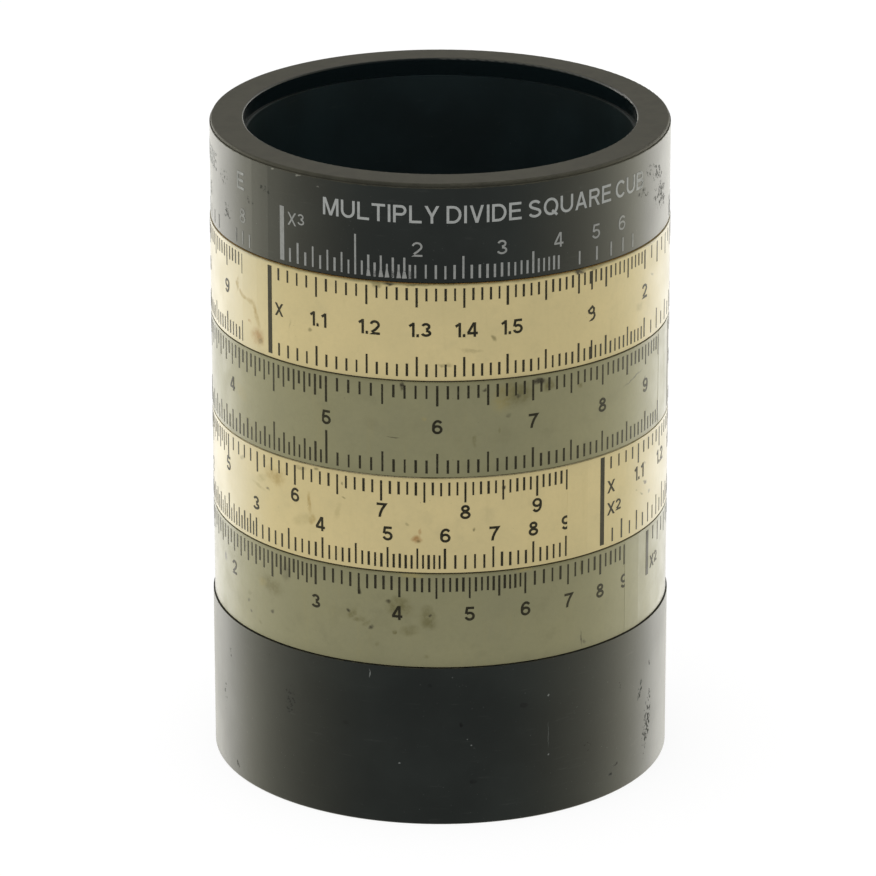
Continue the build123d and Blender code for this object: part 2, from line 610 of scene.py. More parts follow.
    def finish(self, colour, roughness, specular, haze=0.0):
        """Connects colour and gloss. haze is the dusty paleness seen at a grazing view."""
        self.feed(self.surface.inputs["Base Color"], colour)
        self.feed(self.surface.inputs["Roughness"], roughness)
        self.surface.inputs["Specular IOR Level"].default_value = specular
        self.surface.inputs["Sheen Weight"].default_value = haze
        self.surface.inputs["Sheen Roughness"].default_value = SHEEN_ROUGHNESS
        return self.material


# Colours of dirt and wear, and the pale colour of fading that also serves as painted glare
BROWN = (0.115, 0.1, 0.028, 1)
RUST = (0.36, 0.21, 0.07, 1)
TAN = (0.33, 0.225, 0.055, 1)
DARK_DIRT = (0.035, 0.028, 0.012, 1)
OCHRE = (0.29, 0.24, 0.085, 1)
FADED_AND_GLARE_WHITE = (0.66, 0.62, 0.47, 1)
PALE_CHIP = (0.2, 0.2, 0.17, 1)
DUST = (0.16, 0.17, 0.16, 1)
SMUT = (0.004, 0.004, 0.004, 1)

SPOT_REACH = 3  # how far a blot reaches in and out of the wall
SHEEN_ROUGHNESS = 0.22
SCUFF_ROUGHNESS = 0.8
WORN_AND_FILL_ROUGHNESS = 0.6
FADE_AND_GLARE_STRENGTH = 0.45  # how far a patch turns to the pale colour, used for fading and for painted glare
PATCH_H = 60  # pale patches run off the film above and below

# Where each film is painted paler, as bearings and widths. The patches near the sides of films 1 and 3, at
# -72 to -70 and 80 to 84, are painted glare; the others are where the film has yellowed less
FADED_AND_GLARE_PATCHES = {
    1: ((-70, 26), (84, 22), (190, 30)),
    2: ((130, 24), (230, 20)),
    3: ((-72, 24), (80, 26), (160, 20)),
    4: ((-120, 28), (150, 24)),
}
# Blots on each film: bearing, depth below the film's upper edge, width, height, tilt, strength, colour
BLOTS = {
    1: (
        (-60, 4.9, 0.6, 2, 10, 0.6, TAN),
        (-57.6, 6, 2.2, 0.7, 25, 0.6, TAN),
        (-54.2, 6.4, 2.2, 0.6, 12, 0.45, TAN),
        (-51.6, 7.9, 0.8, 3.2, -20, 0.55, TAN),
        (-51.2, 10.7, 2.6, 2.3, 0, 0.5, RUST),
        (-50.4, 11, 1.5, 1.7, 20, 0.55, RUST),
        (-50.2, 11.3, 0.8, 0.9, 0, 0.5, BROWN),
        (-54.3, 9.1, 0.7, 0.5, 0, 0.5, RUST),
        (-33.4, 7.7, 0.7, 0.5, 0, 0.45, BROWN),
        (-39.6, 7.5, 0.3, 1.3, 8, 0.2, BROWN),
        (-15.4, 0.3, 1.3, 0.9, 0, 0.6, BROWN),
        (-12.3, 0.1, 1.5, 0.5, 0, 0.8, DARK_DIRT),
        (-6, 0.1, 3.5, 0.4, 0, 0.5, BROWN),
        (13, 7.4, 0.5, 1.2, -30, 0.45, BROWN),
        (7.5, 8.9, 2.8, 0.5, 5, 0.2, BROWN),
        (1, 10.7, 2, 0.6, 0, 0.35, BROWN),
        (36.2, 0.1, 1.7, 0.7, 0, 0.8, DARK_DIRT),
        (40.5, 0.2, 2.6, 0.4, 0, 0.5, BROWN),
        (58.4, 7.9, 1.8, 1.4, 0, 0.2, BROWN),
        (65.3, 4.5, 1, 0.4, 30, 0.35, DARK_DIRT),
        (150, 5, 3, 1.2, 30, 0.25, BROWN),
        (205, 9, 1, 2, 0, 0.35, OCHRE),
        (250, 3.6, 2, 0.7, 10, 0.3, BROWN),
    ),
    2: (
        (-9.3, 0.6, 0.6, 1, 0, 0.75, DARK_DIRT),
        (15.5, 2.4, 2.6, 3.8, 20, 0.45, OCHRE),
        (18.6, 2, 5, 3.6, 0, 0.4, BROWN),
        (20, 2.2, 2.6, 2.2, 0, 0.4, BROWN),
        (19.2, 2.3, 0.9, 0.5, 0, 0.6, DARK_DIRT),
        (24.9, 0.8, 2, 0.9, 10, 0.9, DARK_DIRT),
        (27.4, 1.6, 1.8, 1.5, 0, 0.6, BROWN),
        (10.8, 1.2, 0.5, 0.5, 0, 0.7, DARK_DIRT),
        (36.4, 2.5, 0.8, 0.9, 0, 0.6, BROWN),
        (16.8, 4.9, 0.6, 0.5, 0, 0.3, DARK_DIRT),
        (14.5, 6.8, 0.4, 0.9, 0, 0.3, BROWN),
        (8.4, 8, 0.5, 1.4, 0, 0.4, BROWN),
        (-11.6, 7.6, 1.5, 0.16, 8, 0.6, DARK_DIRT),
        (-59, 6.4, 3.5, 1.8, 25, 0.25, OCHRE),
        (-3.9, 4.9, 0.7, 0.5, 0, 0.3, OCHRE),
        (56, 4.1, 4, 0.25, -14, 0.5, DARK_DIRT),
        (61, 5.2, 1.4, 0.25, -40, 0.5, DARK_DIRT),
        (140, 8.5, 2.5, 2, 0, 0.3, OCHRE),
        (190, 3, 1.2, 0.8, 0, 0.5, BROWN),
        (260, 10.5, 4, 1.2, 0, 0.4, BROWN),
    ),
    3: (
        (-46, 2.8, 2.8, 2.1, 20, 0.4, TAN),
        (-47.8, 5, 0.8, 0.4, 15, 0.7, DARK_DIRT),
        (-58.8, 2.4, 1, 0.6, -30, 0.5, BROWN),
        (-43.6, 3, 1.8, 2.6, 30, 0.35, TAN),
        (-50.2, 3.8, 2.2, 1, -20, 0.3, OCHRE),
        (-51.5, 5.1, 2.8, 0.5, 10, 0.3, OCHRE),
        (-34, 5.2, 0.6, 2.7, -5, 0.5, TAN),
        (-33.2, 7.4, 0.9, 1.4, 20, 0.45, TAN),
        (-36, 7.6, 3.6, 1.4, -25, 0.22, OCHRE),
        (-31.8, 0.3, 0.9, 0.4, 0, 0.5, BROWN),
        (-36.8, 0.6, 1.8, 0.7, 0, 0.4, BROWN),
        (-24.5, 1.6, 0.3, 0.5, 0, 0.6, BROWN),
        (-24.3, 3.5, 0.5, 0.25, 15, 0.4, BROWN),
        (-26, 5.6, 0.8, 2.4, 15, 0.2, OCHRE),
        (-5.6, 8.3, 1.2, 1.1, 0, 0.8, RUST),
        (-5.4, 8.6, 0.5, 0.5, 0, 0.4, BROWN),
        (-4.9, 7.2, 0.4, 0.9, 10, 0.5, RUST),
        (-8, 6.3, 0.5, 0.4, 0, 0.3, BROWN),
        (8.3, 7, 0.3, 0.6, 0, 0.5, BROWN),
        (15.8, 1.6, 0.6, 0.6, 0, 0.85, DARK_DIRT),
        (62.5, 6.4, 1.1, 0.5, 20, 0.8, DARK_DIRT),
        (65, 8.1, 0.7, 0.6, 0, 0.5, DARK_DIRT),
        (58.2, 6.9, 0.7, 0.3, 20, 0.5, BROWN),
        (60.7, 7.8, 0.9, 0.3, 20, 0.5, BROWN),
        (62.6, 3.8, 0.9, 0.3, 20, 0.4, BROWN),
        (130, 4, 1.5, 0.8, 0, 0.35, BROWN),
        (210, 8.8, 3, 1.5, 20, 0.25, OCHRE),
        (275, 6, 0.6, 2.6, 0, 0.3, BROWN),
    ),
    4: (
        (-47, 5.2, 4.4, 2.2, 10, 0.5, BROWN),
        (-50.2, 5.3, 1.8, 1.2, 0, 0.3, OCHRE),
        (-46.6, 8.7, 0.7, 0.6, -20, 0.6, DARK_DIRT),
        (-56.4, 8.7, 0.6, 0.6, 0, 0.5, DARK_DIRT),
        (-55.8, 7.6, 0.9, 0.6, -20, 0.3, BROWN),
        (-55.2, 10.1, 0.6, 0.35, 30, 0.6, DARK_DIRT),
        (-51.3, 11, 0.9, 0.5, 20, 0.3, BROWN),
        (-69.5, 5, 1, 1.2, 20, 0.8, DARK_DIRT),
        (-23.2, 5.8, 0.5, 0.5, 30, 0.7, DARK_DIRT),
        (-41.7, 2.5, 1.5, 2.6, 0, 0.3, DARK_DIRT),
        (-22.3, 6.2, 1.6, 0.9, -40, 0.5, BROWN),
        (-20.4, 6.9, 1.7, 0.8, -5, 0.45, BROWN),
        (-18.5, 7.3, 1.5, 0.6, -30, 0.4, BROWN),
        (-17.1, 7.7, 0.8, 0.5, -15, 0.6, DARK_DIRT),
        (-11.3, 8.2, 0.5, 0.7, 0, 0.6, BROWN),
        (-12.9, 4, 0.6, 0.7, 20, 0.7, DARK_DIRT),
        (-10, 4.6, 3.2, 2.9, 0, 0.5, BROWN),
        (-7.6, 7.9, 2.4, 1.4, -10, 0.35, BROWN),
        (-2.8, 5.8, 1.9, 3, -15, 0.45, BROWN),
        (-3, 6.9, 2.2, 1.4, 30, 0.35, BROWN),
        (-2.5, 5.7, 0.4, 0.4, 0, 0.7, DARK_DIRT),
        (-20.4, 2.9, 0.6, 1.1, 0, 0.85, DARK_DIRT),
        (-15.7, 10, 0.6, 0.8, 0, 0.3, BROWN),
        (-3.5, 11.4, 0.7, 0.5, 0, 0.3, BROWN),
        (37.4, 11.4, 0.25, 1.9, -6, 0.55, DARK_DIRT),
        (38.5, 11.9, 0.7, 0.5, 30, 0.45, DARK_DIRT),
        (37.3, 1.5, 0.4, 2, 0, 0.6, BROWN),
        (21, 0.2, 2.4, 0.5, 0, 0.5, OCHRE),
        (-7, 0.2, 3.4, 0.6, 0, 0.6, OCHRE),
        (110, 7, 3, 2, 20, 0.35, BROWN),
        (170, 9, 2, 1, 0, 0.4, BROWN),
        (230, 5, 4, 1.5, -20, 0.3, OCHRE),
    ),
}


# Scuffed patches on the black sleeves, as lists of matt specks inside an outline:
# bearing, depth below the sleeve's upper edge, width, height, tilt, how much of it is specks
BASE_SCUFFS = (
    (64.4, 14.2, 2.6, 10, 12, 0.7),
    (65.4, 14.6, 1.6, 7, 10, 0.9),
    (60.4, 9.2, 1.6, 3.8, 18, 0.7),
    (65.8, 6.3, 0.5, 1.2, 0, 0.7),
    (62.6, 19, 0.5, 1.2, 0, 0.7),
    (49.4, 17.8, 1.5, 0.8, 10, 0.6),
    (47.7, 19, 1.4, 0.5, 5, 0.8),
    (39.6, 13.8, 2.2, 1.6, 0, 0.35),
    (51.3, 7.3, 1.6, 2, 0, 0.35),
    (25.7, 2.9, 1.2, 0.8, 0, 0.4),
    (-40.3, 7.2, 2.4, 5.5, 0, 0.4),
    (-66, 5, 1.4, 1.8, -15, 0.5),
    (-62, 20.3, 0.9, 2.4, -20, 0.6),
    (-70, 12, 1.2, 5, 0, 0.4),
    (-47.6, 2, 0.9, 0.9, 0, 0.5),
    (120, 6, 1.2, 5, 20, 0.6),
    (200, 12, 3, 1, 10, 0.6),
    (245, 8, 1, 4, -20, 0.5),
)
COLLAR_SCUFFS = (
    (67, 3.6, 8, 2.6, 20, 0.6),
    (71.5, 7.4, 6.4, 4.6, 20, 0.7),
    (60, 5.4, 4, 1.8, 20, 0.5),
    (-68, 4.4, 3.4, 3, 0, 0.45),
    (-66, 8.6, 3, 3.6, 10, 0.4),
    (-54, 5.6, 2.6, 1, 35, 0.4),
    (-48, 3.4, 2.6, 1.4, 25, 0.35),
    (105, 5, 1.5, 3.5, 15, 0.5),
    (215, 7, 3.5, 1.2, 5, 0.5),
)
# Marks on the black sleeves, listed like the films' blots
BASE_MARKS = (
    (-17.5, 1.2, 0.16, 1.3, 0, 0.6, DUST),
    (27.6, 5.1, 0.26, 0.26, 0, 0.9, DUST),
    (27.6, 13.4, 0.26, 0.3, 0, 0.9, DUST),
    (27.7, 10.6, 0.1, 3.6, 0, 0.3, DUST),
    (7.6, 10.8, 0.24, 0.24, 0, 0.8, DUST),
    (6.6, 10, 0.2, 0.2, 0, 0.5, DUST),
    (-10, 13.4, 0.24, 0.24, 0, 0.7, DUST),
    (5.1, 7.9, 0.5, 0.7, 0, 0.8, SMUT),
    (21, 5.9, 1.2, 0.7, 0, 0.6, SMUT),
    (8.2, 15.9, 0.9, 0.5, 0, 0.6, SMUT),
    (-24, 8.6, 0.9, 0.6, 0, 0.4, SMUT),
    (-2.6, 2.4, 0.7, 0.5, 0, 0.5, SMUT),
)
COLLAR_MARKS = (
    (-44.6, 0.12, 1.1, 0.34, -22, 0.8, PALE_CHIP),
    (-36.6, 0.1, 1, 0.34, -26, 0.8, PALE_CHIP),
    (-31, 1.2, 0.4, 0.12, 0, 0.5, PALE_CHIP),
)


def film_material(number, pale, deep, grime, upper_dirt, lower_dirt):
    """Aged printed film: cloudy colour, blots, dirt along its edges, pale patches that are partly fading and
    partly painted glare at the sides, and a faint orange-peel gloss.
    """
    shader = Shader(f"film_{number}")
    low, high = spread(f"scale_film_{number}")
    radius = outer_radius(f"scale_ring_{number}") + FILM_T
    shader.wander(1.0, 0.42)
    clouds = shader.span(shader.noise(9, offset=number), 0.3, 0.7)
    colour = shader.mix(clouds, pale, deep)
    mottle = shader.span(shader.noise(0.6, detail=5.0, roughness=0.7), 0.35, 0.75, 0.0, 0.16)
    colour = shader.mix(mottle, colour, grime)
    grease = shader.noise(3.5, detail=5.0, roughness=0.6, offset=number * 5)
    colour = shader.mix(shader.span(grease, 0.52, 0.75, 0.0, 0.3), colour, grime)
    streaks = shader.span(shader.noise(1.2, stretch=(1, 1, 7), offset=number * 2), 0.55, 0.8, 0.0, 0.1)
    colour = shader.mix(streaks, colour, OCHRE)
    height = shader.math("DIVIDE", shader.part(2), MM)
    ragged = shader.times(shader.noise(2.5, detail=5.0), 0.5)
    for distance, strength in (
        (shader.math("SUBTRACT", high, height), upper_dirt),
        (shader.math("SUBTRACT", height, low), lower_dirt),
    ):
        reach = shader.math("SUBTRACT", distance, ragged)
        colour = shader.mix(shader.span(reach, 0.1, -0.25, 0.0, strength), colour, BROWN)
        colour = shader.mix(shader.span(distance, 2.0, 0.0, 0.0, 0.2), colour, grime)
    specks = shader.span(shader.noise(0.35, detail=2.0, offset=number * 3), 0.76, 0.8, 0.0, 0.6)
    colour = shader.mix(specks, colour, DARK_DIRT)
    # painted glare: the patches at the sides of films 1 and 3 whiten the film as glare would; the other
    # patches are fading
    for bearing, wide in FADED_AND_GLARE_PATCHES[number]:
        patch = shader.spot(radius, bearing, (low + high) / 2, wide, PATCH_H, soft=1.6)
        colour = shader.mix(shader.times(patch, FADE_AND_GLARE_STRENGTH), colour, FADED_AND_GLARE_WHITE)
    colour = shader.blots(colour, radius, high, BLOTS[number], soft=1.1)
    peel = shader.noise(0.9, detail=2.0)
    shader.bump(peel, 0.012)
    roughness = shader.span(shader.noise(4, detail=5.0), 0.3, 0.75, 0.3, 0.42)
    return shader.finish(colour, roughness, 0.5, haze=0.9)


def black_material(
    name, tone, roughness, haze, sleeve="", scuffs=(), marks=(), worn_and_fill_top=0.0, inner=0.0, specular=0.5
):
    """Semi-gloss black plastic with fine scratches and dust.

    sleeve names the node that scuffs and marks are placed on. Above the given top height the black turns a
    paler brown outside the inner radius, partly wear and partly painted fill light that lifts shaded edges,
    and inside that radius it is a darker black all the way down, painted shade on the bore face.
    """
    shader = Shader(name)
    shader.wander(0.8, 0.3)
    cloud = shader.span(shader.noise(11, offset=3.0), 0.35, 0.7)
    colour = shader.mix(cloud, tone, tuple(c * 1.4 for c in tone[:3]) + (1,))
    scratches = shader.span(shader.noise(0.5, detail=4.0, stretch=(9, 9, 1)), 0.62, 0.78, 0.0, 0.05)
    colour = shader.mix(scratches, colour, (0.2, 0.2, 0.18, 1))
    grains = shader.span(shader.noise(0.25, detail=1.0, offset=5.0), 0.77, 0.8, 0.0, 0.35)
    colour = shader.mix(grains, colour, DUST)
    gloss = shader.span(shader.noise(7, detail=2.0, offset=1.0), 0.3, 0.75, roughness, roughness + 0.04)
    if sleeve:
        radius, high = outer_radius(sleeve), spread(sleeve)[1]
        colour = shader.blots(colour, radius, high, marks)
        grit = shader.noise(0.55, detail=4.0, roughness=0.7)
        for bearing, depth, wide, tall, tilt, share in scuffs:
            outline = shader.spot(radius, bearing, high - depth, wide, tall, tilt, soft=0.8)
            level = shader.span(outline, 0.0, 1.0, 0.8, 0.59 - share * 0.12)
            speck = shader.span(shader.math("SUBTRACT", grit, level), 0.0, 0.05)
            gloss = shader.math("MAXIMUM", gloss, shader.times(speck, SCUFF_ROUGHNESS))
    # paler brown above the top height: partly wear, partly painted fill light that lifts the shaded fillet
    # and edge lines; inside the inner radius, painted shade
    if worn_and_fill_top:
        height = shader.math("DIVIDE", shader.part(2), MM)
        chipped = shader.math("ADD", height, shader.times(shader.noise(0.9, detail=4.0), 0.4))
        worn = shader.span(chipped, worn_and_fill_top, worn_and_fill_top + 0.06)
        outside = shader.span(shader.from_axis(), inner + 0.04, inner + 0.1)
        worn = shader.times(worn, outside)
        worn_and_fill_brown = shader.mix(shader.span(shader.noise(1.6, detail=5.0), 0.35, 0.7), RIM_PALE, RIM_DEEP)
        colour = shader.mix(worn, colour, worn_and_fill_brown)
        gloss = shader.math("MAXIMUM", gloss, shader.times(worn, WORN_AND_FILL_ROUGHNESS))
        # painted shade: the bore face inside the inner radius is painted darker than the black around it
        colour = shader.mix(outside, LIP_PAINTED_SHADE_BLACK, colour)
        gloss = shader.times(gloss, shader.span(outside, 0.0, 1.0, 0.5, 1.0))
    texture = shader.math("ADD", shader.noise(0.8), shader.times(scratches, -4.0))
    shader.bump(texture, 0.006)
    return shader.finish(colour, gloss, specular, haze=haze)


def ink_material(name, tone, worn, wear, bare=None):
    """Printed ink, a little patchy.

    Where bare is given, thumbs have rubbed the ink down to that colour at two sides.
    """
    shader = Shader(name)
    patches = shader.span(shader.noise(0.5, detail=4.0, roughness=0.65), 0.45, 0.8, 0.0, wear)
    colour = shader.mix(patches, tone, worn)
    if bare:
        shader.wander(1.5, 1.0)
        low, high = spread("top_collar")
        for bearing in THUMB_BEARINGS:
            middle = (low + high) / 2
            rubbed = shader.spot(outer_radius("top_collar"), bearing, middle, THUMB_W, THUMB_H, soft=1.2)
            colour = shader.mix(shader.times(rubbed, THUMB_WEAR), colour, bare)
    return shader.finish(colour, shader.span(shader.noise(2), 0.3, 0.7, 0.4, 0.5), 0.3, haze=0.3)


def ring_material(name, upper_tone, lower_tone):
    """Plastic ring that shows as a thin line above and below its film, with a colour for each end."""
    shader = Shader(name)
    low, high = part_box(f"scale_ring_{name[-1]}")
    lower = shader.span(shader.part(2), high.z, low.z)
    colour = shader.mix(lower, upper_tone, lower_tone)
    patches = shader.span(shader.noise(2.2, detail=5.0), 0.4, 0.7, 0.0, 0.6)
    colour = shader.mix(patches, colour, BROWN)
    grit = shader.span(shader.noise(0.3, detail=2.0), 0.6, 0.8, 0.0, 0.4)
    colour = shader.mix(grit, colour, DARK_DIRT)
    shader.bump(shader.noise(0.4), 0.02)
    return shader.finish(colour, shader.span(shader.noise(1), 0.3, 0.7, 0.5, 0.7), 0.3)


THUMB_BEARINGS = (68, -67)  # where the collar's print is thin from handling
THUMB_W = 10
THUMB_H = 32
THUMB_WEAR = 0.75
# Paler browns above the films' tops: partly wear, partly painted fill light on shaded edges
RIM_PALE = (0.039, 0.0365, 0.0215, 1)
RIM_DEEP = (0.029, 0.027, 0.0155, 1)
BLACK = (0.0105, 0.0127, 0.0113, 1)
BORE_BLACK = (0.0078, 0.0155, 0.0172, 1)
# painted shade for the collar lip's bore face
LIP_PAINTED_SHADE_BLACK = (0.0045, 0.0085, 0.0095, 1)
RIM_BORE = 25.6  # just outside the bore of the collar's lip
FILM_BORE = outer_radius("top_collar") - 1  # well inside the collar's film
COLLAR_FILM_TOP = spread("collar_film")[1]
# the collar film's top edge is painted paler: partly wear, partly painted fill light over its shadow line
COLLAR_FILM_WORN_AND_FILL = COLLAR_FILM_TOP + 0.06
# painted fill light: the base's top edge, where ring 4 shades it, is painted paler
BASE_PAINTED_FILL_TOP = spread("base_sleeve")[1] + 0.17  # the line is ragged, so it reaches the top edge in places
CREAM = ((0.60, 0.49, 0.235, 1), (0.55, 0.455, 0.22, 1), (0.42, 0.36, 0.18, 1))
GREY = ((0.24, 0.225, 0.117, 1), (0.22, 0.208, 0.11, 1), (0.16, 0.15, 0.075, 1))
ORANGE_EDGE = (0.33, 0.19, 0.05, 1)
DARK_EDGE = (0.07, 0.06, 0.03, 1)
OLIVE_EDGE = (0.2, 0.19, 0.09, 1)
CREAM_EDGE = (0.5, 0.44, 0.27, 1)

collar_black = black_material("collar_black", BLACK, 0.36, 0.0, worn_and_fill_top=COLLAR_FILM_TOP, inner=RIM_BORE)
collar_film_black = black_material(
    "collar_film_black", BLACK, 0.3, 0.35, "collar_film",
    COLLAR_SCUFFS, COLLAR_MARKS, COLLAR_FILM_WORN_AND_FILL, FILM_BORE,
)
base_black = black_material(
    "base_black", BLACK, 0.34, 0.13, "base_sleeve", BASE_SCUFFS, BASE_MARKS, BASE_PAINTED_FILL_TOP, specular=0.36
)
for node, material in (
    ("core_tube", black_material("core_black", BORE_BLACK, 0.4, 0.0)),
    ("top_collar", collar_black),
    ("base_sleeve", base_black),
    ("collar_film", collar_film_black),
    ("scale_film_1", film_material(1, *CREAM, 0.8, 0.15)),
    ("scale_film_2", film_material(2, *GREY, 0.35, 0.1)),
    ("scale_film_3", film_material(3, *CREAM, 0.15, 0.0)),
    ("scale_film_4", film_material(4, *GREY, 0.4, 0.0)),
    ("scale_ring_1", ring_material("ring_edge_1", ORANGE_EDGE, CREAM_EDGE)),
    ("scale_ring_2", ring_material("ring_edge_2", DARK_EDGE, OLIVE_EDGE)),
    ("scale_ring_3", ring_material("ring_edge_3", CREAM_EDGE, CREAM_EDGE)),
    ("scale_ring_4", ring_material("ring_edge_4", DARK_EDGE, CREAM_EDGE)),
):
    frame["nodes"][node].material_slots[0].material = material

dark_ink = ink_material("dark_ink", (0.02, 0.017, 0.006, 1), (0.06, 0.052, 0.025, 1), 0.7)
white_ink = ink_material("white_ink", (0.33, 0.34, 0.325, 1), (0.23, 0.24, 0.23, 1), 0.8, BLACK)
thin_white_ink = ink_material("thin_white_ink", (0.26, 0.265, 0.25, 1), (0.16, 0.165, 0.155, 1), 0.8, BLACK)


# ---- printing


def band(number):
    """Empty ink for the film of one ring."""
    low, high = spread(f"scale_film_{number}")
    radius = outer_radius(f"scale_ring_{number}") + FILM_T
    return Ink(radius, low, high, RING_INDEX[number])


def collar_band(rubbed):
    """Empty ink for the collar's film."""
    low, high = spread("collar_film")
    return Ink(outer_radius("top_collar") + FILM_T, low, high, COLLAR_INDEX, rubbed)


def print_ring(number, graduations, figures):
    """Graduations and figures of one ring, as two pieces that ride on it."""
    body = f"ring_{number}"
    rules, figure_ink = band(number), band(number)
    graduations(rules, random.Random(number))
    figures(figure_ink)
    rules.make(f"graduations_{number}", body, dark_ink, "dark_ink")
    figure_ink.make(f"numerals_{number}", body, dark_ink, "dark_ink")


def x_graduations(ink, wobble):
    """The X scale along both edges."""
    graduate(ink, X_STEPS, X_DECADES, x_length, False, wobble)
    graduate(ink, X_STEPS, X_DECADES, x_length, True, wobble)
    index_line(ink, ink.low + EDGE_GAP, ink.high - EDGE_GAP)


def x_figures(ink, row):
    """The figures that serve the X scale on both edges."""
    decimals(ink, row)
    numerals(ink, X_DECADES, row)
    power_label(ink, 1, row)


def ring_1_graduations(ink, wobble):
    x_graduations(ink, wobble)
    gauge = ink.index + GAUGE_ANGLE
    ink.box(gauge, TICK_W, ink.high - EDGE_GAP - GAUGE_TICK, ink.high - EDGE_GAP)
    ink.box(gauge, TICK_W, ink.low + EDGE_GAP, ink.low + EDGE_GAP + GAUGE_TICK)


def ring_1_figures(ink):
    x_figures(ink, ROW_1)
    base = ink.high - ROW_1_GAUGE - GAUGE_H / 2
    ink.text(["gauge"], ink.index + GAUGE_ANGLE, base, GAUGE_H, GAUGE_PEN)


def ring_2_figures(ink):
    x_figures(ink, ROW_2)
    # the 5 has filled in with ink at the left of its bowl
    bowl = ink.index + X_DECADES[0] * math.log10(5) - math.degrees(0.47 / ink.radius)
    ink.box(bowl, 0.26, ink.high - ROW_2 - 0.6, ink.high - ROW_2)


def ring_3_graduations(ink, wobble):
    graduate(ink, X_STEPS, X_DECADES, x_length, False, wobble)
    graduate(ink, SQUARE_STEPS, SQUARE_DECADES, square_length, True, wobble)
    index_line(ink, ink.low + EDGE_GAP, ink.high - EDGE_GAP / 2)


def ring_3_figures(ink):
    decimals(ink, ROW_3_UPPER)
    numerals(ink, X_DECADES, ROW_3_UPPER)
    numerals(ink, SQUARE_DECADES, ROW_3_LOWER, drift=SQUARE_DRIFT)
    power_label(ink, 1, ROW_3_UPPER_LABEL)
    power_label(ink, 2, ROW_3_LOWER_LABEL)


def ring_4_graduations(ink, wobble):
    graduate(ink, SQUARE_STEPS, SQUARE_DECADES, square_length, False, wobble)
    index_line(ink, ink.high - ROW_4_INDEX, ink.high - EDGE_GAP)


def ring_4_figures(ink):
    numerals(ink, SQUARE_DECADES, ROW_4, drift=SQUARE_DRIFT)
    power_label(ink, 2, ROW_4_LABEL)


print_ring(1, ring_1_graduations, ring_1_figures)
print_ring(2, x_graduations, ring_2_figures)
print_ring(3, ring_3_graduations, ring_3_figures)
print_ring(4, ring_4_graduations, ring_4_figures)

collar_rules = collar_band(RUBBED)
collar_figures = collar_band(RUBBED)
collar_legend = collar_band(RUBBED_LEGEND)
graduate(collar_rules, CUBE_STEPS, CUBE_DECADES, cube_length, True, random.Random(5))
index_line(collar_rules, collar_rules.low + EDGE_GAP, collar_rules.low + COLLAR_INDEX_TOP)
bled_feet(collar_rules, *BLED_VALUES)
numerals(collar_figures, CUBE_DECADES, COLLAR_ROW, COLLAR_NUMERAL_PEN, CUBE_DRIFT)
power_label(collar_figures, 3, COLLAR_ROW_LABEL, COLLAR_NUMERAL_PEN)
legend_base = collar_legend.high - COLLAR_ROW_LEGEND - LEGEND_H / 2
for start in LEGEND_STARTS:
    collar_legend.text(
        LEGEND, start, legend_base, LEGEND_H, LEGEND_PEN, gap=0.15, centred=False, strokes_of=letter_strokes
    )
collar_rules.make("collar_graduations", "core", thin_white_ink, "white_ink")
collar_figures.make("collar_numerals", "core", thin_white_ink, "white_ink")
collar_legend.make("collar_legend", "core", white_ink, "white_ink")


# ---- studio

# Lengths in the studio are in metres, as the frame's are
FLOOR_SIZE = 6
FLOOR_GLOW = 0.86
SOFTBOX_SIZE = 0.5
SOFTBOX_POWER = 0.3
SOFTBOX_PLACE = (-0.15, -0.2, 0.75)
SOFTBOX_COLOUR = (1, 0.98, 0.93)
SENSOR_MM = 36
LENS_MM = 243.87
CAMERA_PLACE = (0, -0.73625, 0.31292)
CAMERA_TURNS = (90 - 20.173, 0.021, 0.015)  # degrees, looking 20.173 below level
SURROUND = 2.6  # brightness of the surround behind and beside the object, as its gloss reflects it
COOL_WHITE = (0.9, 1, 0.94)
WARM_WHITE = (1, 0.965, 0.76)
PLAIN_WHITE = (1, 0.98, 0.9)
# How the surround looks round the compass, from the front to the back: place, share of SURROUND, colour
SURROUND_ROUND = (
    (0, 0.1, COOL_WHITE),
    (0.12, 0.125, COOL_WHITE),
    (0.25, 0.24, WARM_WHITE),
    (0.41, 0.4, WARM_WHITE),
    (0.59, 0.66, WARM_WHITE),
    (0.72, 0.86, WARM_WHITE),
    (0.82, 1.1, PLAIN_WHITE),
    (0.9, 1.15, PLAIN_WHITE),
    (1, 0.6, PLAIN_WHITE),
)
# and from straight down to straight up
LEVEL = (1, 1, 1)
SURROUND_UP = ((0, 1, LEVEL), (0.5, 1, LEVEL), (0.62, 0.3, LEVEL), (1, 0.4, LEVEL))
SURROUND_LEAN = 0.06  # how much more of the reflected light comes from the right
SOFT_LIGHT = 0.86  # even light from all round that brings out the colours
SOFT_LIGHT_LEAN = -0.13  # and how much more of it comes from the left


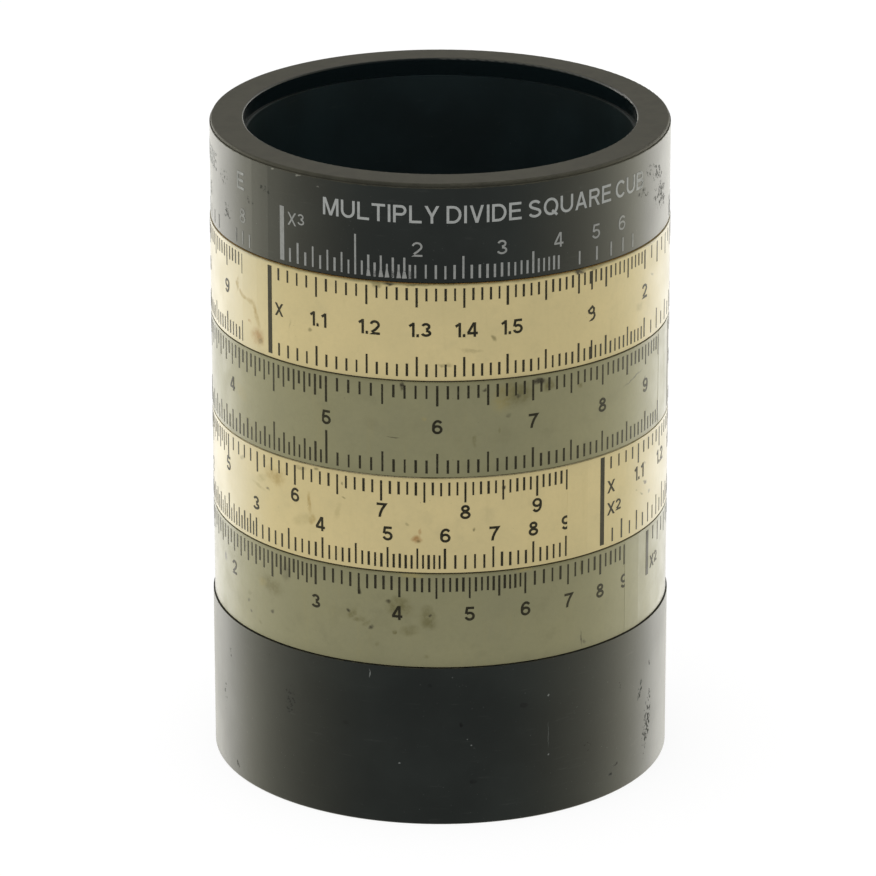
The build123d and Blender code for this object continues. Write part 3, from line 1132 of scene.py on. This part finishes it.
def studio_world():
    """White surround. Gloss sees it dimmer at the front and above, matt surfaces see it even all round."""
    world = bpy.data.worlds.new("studio")
    bpy.context.scene.world = world
    world.cycles.sampling_method = "NONE"
    world.use_nodes = True
    tree = world.node_tree
    nodes, link = tree.nodes, tree.links.new
    parts = nodes.new("ShaderNodeSeparateXYZ")
    link(nodes.new("ShaderNodeTexCoord").outputs["Generated"], parts.inputs[0])
    right, back, up = parts.outputs

    def calc(operation, *values):
        node = nodes.new("ShaderNodeMath")
        node.operation = operation
        for socket, value in zip(node.inputs, values):
            feed(tree, socket, value)
        return node.outputs[0]

    def curve(value, stops):
        node = nodes.new("ShaderNodeValToRGB")
        points = node.color_ramp.elements
        while len(points) < len(stops):
            points.new(0.5)
        for point, (position, level, tint) in zip(points, stops):
            point.position = position
            point.color = (level * tint[0], level * tint[1], level * tint[2], 1)
        link(value, node.inputs[0])
        return node.outputs[0]

    def light(colour, strength):
        node = nodes.new("ShaderNodeBackground")
        feed(tree, node.inputs[0], colour)
        feed(tree, node.inputs[1], strength)
        return node.outputs[0]

    def choose(question, otherwise, light_if_so):
        node = nodes.new("ShaderNodeMixShader")
        link(ray.outputs[question], node.inputs[0])
        link(otherwise, node.inputs[1])
        link(light_if_so, node.inputs[2])
        return node.outputs[0]

    ray = nodes.new("ShaderNodeLightPath")
    flat = calc("POWER", calc("ADD", calc("MULTIPLY", right, right), calc("MULTIPLY", back, back)), 0.5)
    compass = calc("MULTIPLY_ADD", calc("DIVIDE", back, calc("MAXIMUM", flat, 0.001)), 0.5, 0.5)
    height = calc("MULTIPLY_ADD", up, 0.5, 0.5)
    level = calc("MULTIPLY", curve(height, SURROUND_UP), calc("MULTIPLY_ADD", right, SURROUND_LEAN, 1.0))
    reflected = light(curve(compass, SURROUND_ROUND), calc("MULTIPLY", level, SURROUND))
    soft = light((1, 1, 1, 1), calc("MULTIPLY_ADD", right, SOFT_LIGHT_LEAN, SOFT_LIGHT))
    seen = light((1, 1, 1, 1), 1.0)
    result = choose("Is Camera Ray", choose("Is Diffuse Ray", reflected, soft), seen)
    link(result, nodes["World Output"].inputs["Surface"])


def studio_floor():
    """Pale light-table floor.

    It shows to the camera only, because the surround already stands for its glow.
    """
    mesh = bpy.data.meshes.new("floor")
    half = FLOOR_SIZE / 2
    corners = [(-half, -half, 0), (half, -half, 0), (half, half, 0), (-half, half, 0)]
    mesh.from_pydata(corners, [], [(0, 1, 2, 3)])
    floor = bpy.data.objects.new("floor", mesh)
    bpy.context.scene.collection.objects.link(floor)
    shader = Shader("pale_floor")
    shader.surface.inputs["Emission Color"].default_value = (1, 1, 1, 1)
    shader.surface.inputs["Emission Strength"].default_value = FLOOR_GLOW
    mesh.materials.append(shader.finish((0.2, 0.2, 0.2, 1), 0.9, 0.0))
    floor.visible_glossy = False
    floor.visible_diffuse = False
    floor.visible_shadow = False


def studio_softbox():
    """Soft square lamp overhead, aimed at the middle of the object."""
    lamp = bpy.data.lights.new("overhead_softbox", "AREA")
    lamp.size = SOFTBOX_SIZE
    lamp.energy = SOFTBOX_POWER
    lamp.color = SOFTBOX_COLOUR
    holder = bpy.data.objects.new("overhead_softbox", lamp)
    bpy.context.scene.collection.objects.link(holder)
    holder.location = SOFTBOX_PLACE
    aim = (cad_bounds[0] + cad_bounds[1]) / 2 - holder.location
    holder.rotation_euler = aim.to_track_quat("-Z", "Y").to_euler()


def studio_camera():
    """Long lens in front of the object, looking down on it."""
    data = bpy.data.cameras.new("camera")
    data.sensor_width = SENSOR_MM
    data.lens = LENS_MM
    camera = bpy.data.objects.new("camera", data)
    bpy.context.scene.collection.objects.link(camera)
    camera.location = CAMERA_PLACE
    camera.rotation_euler = [math.radians(turn) for turn in CAMERA_TURNS]
    bpy.context.scene.camera = camera


studio_world()
studio_floor()
studio_softbox()
studio_camera()
bpy.context.scene.view_settings.view_transform = "Standard"
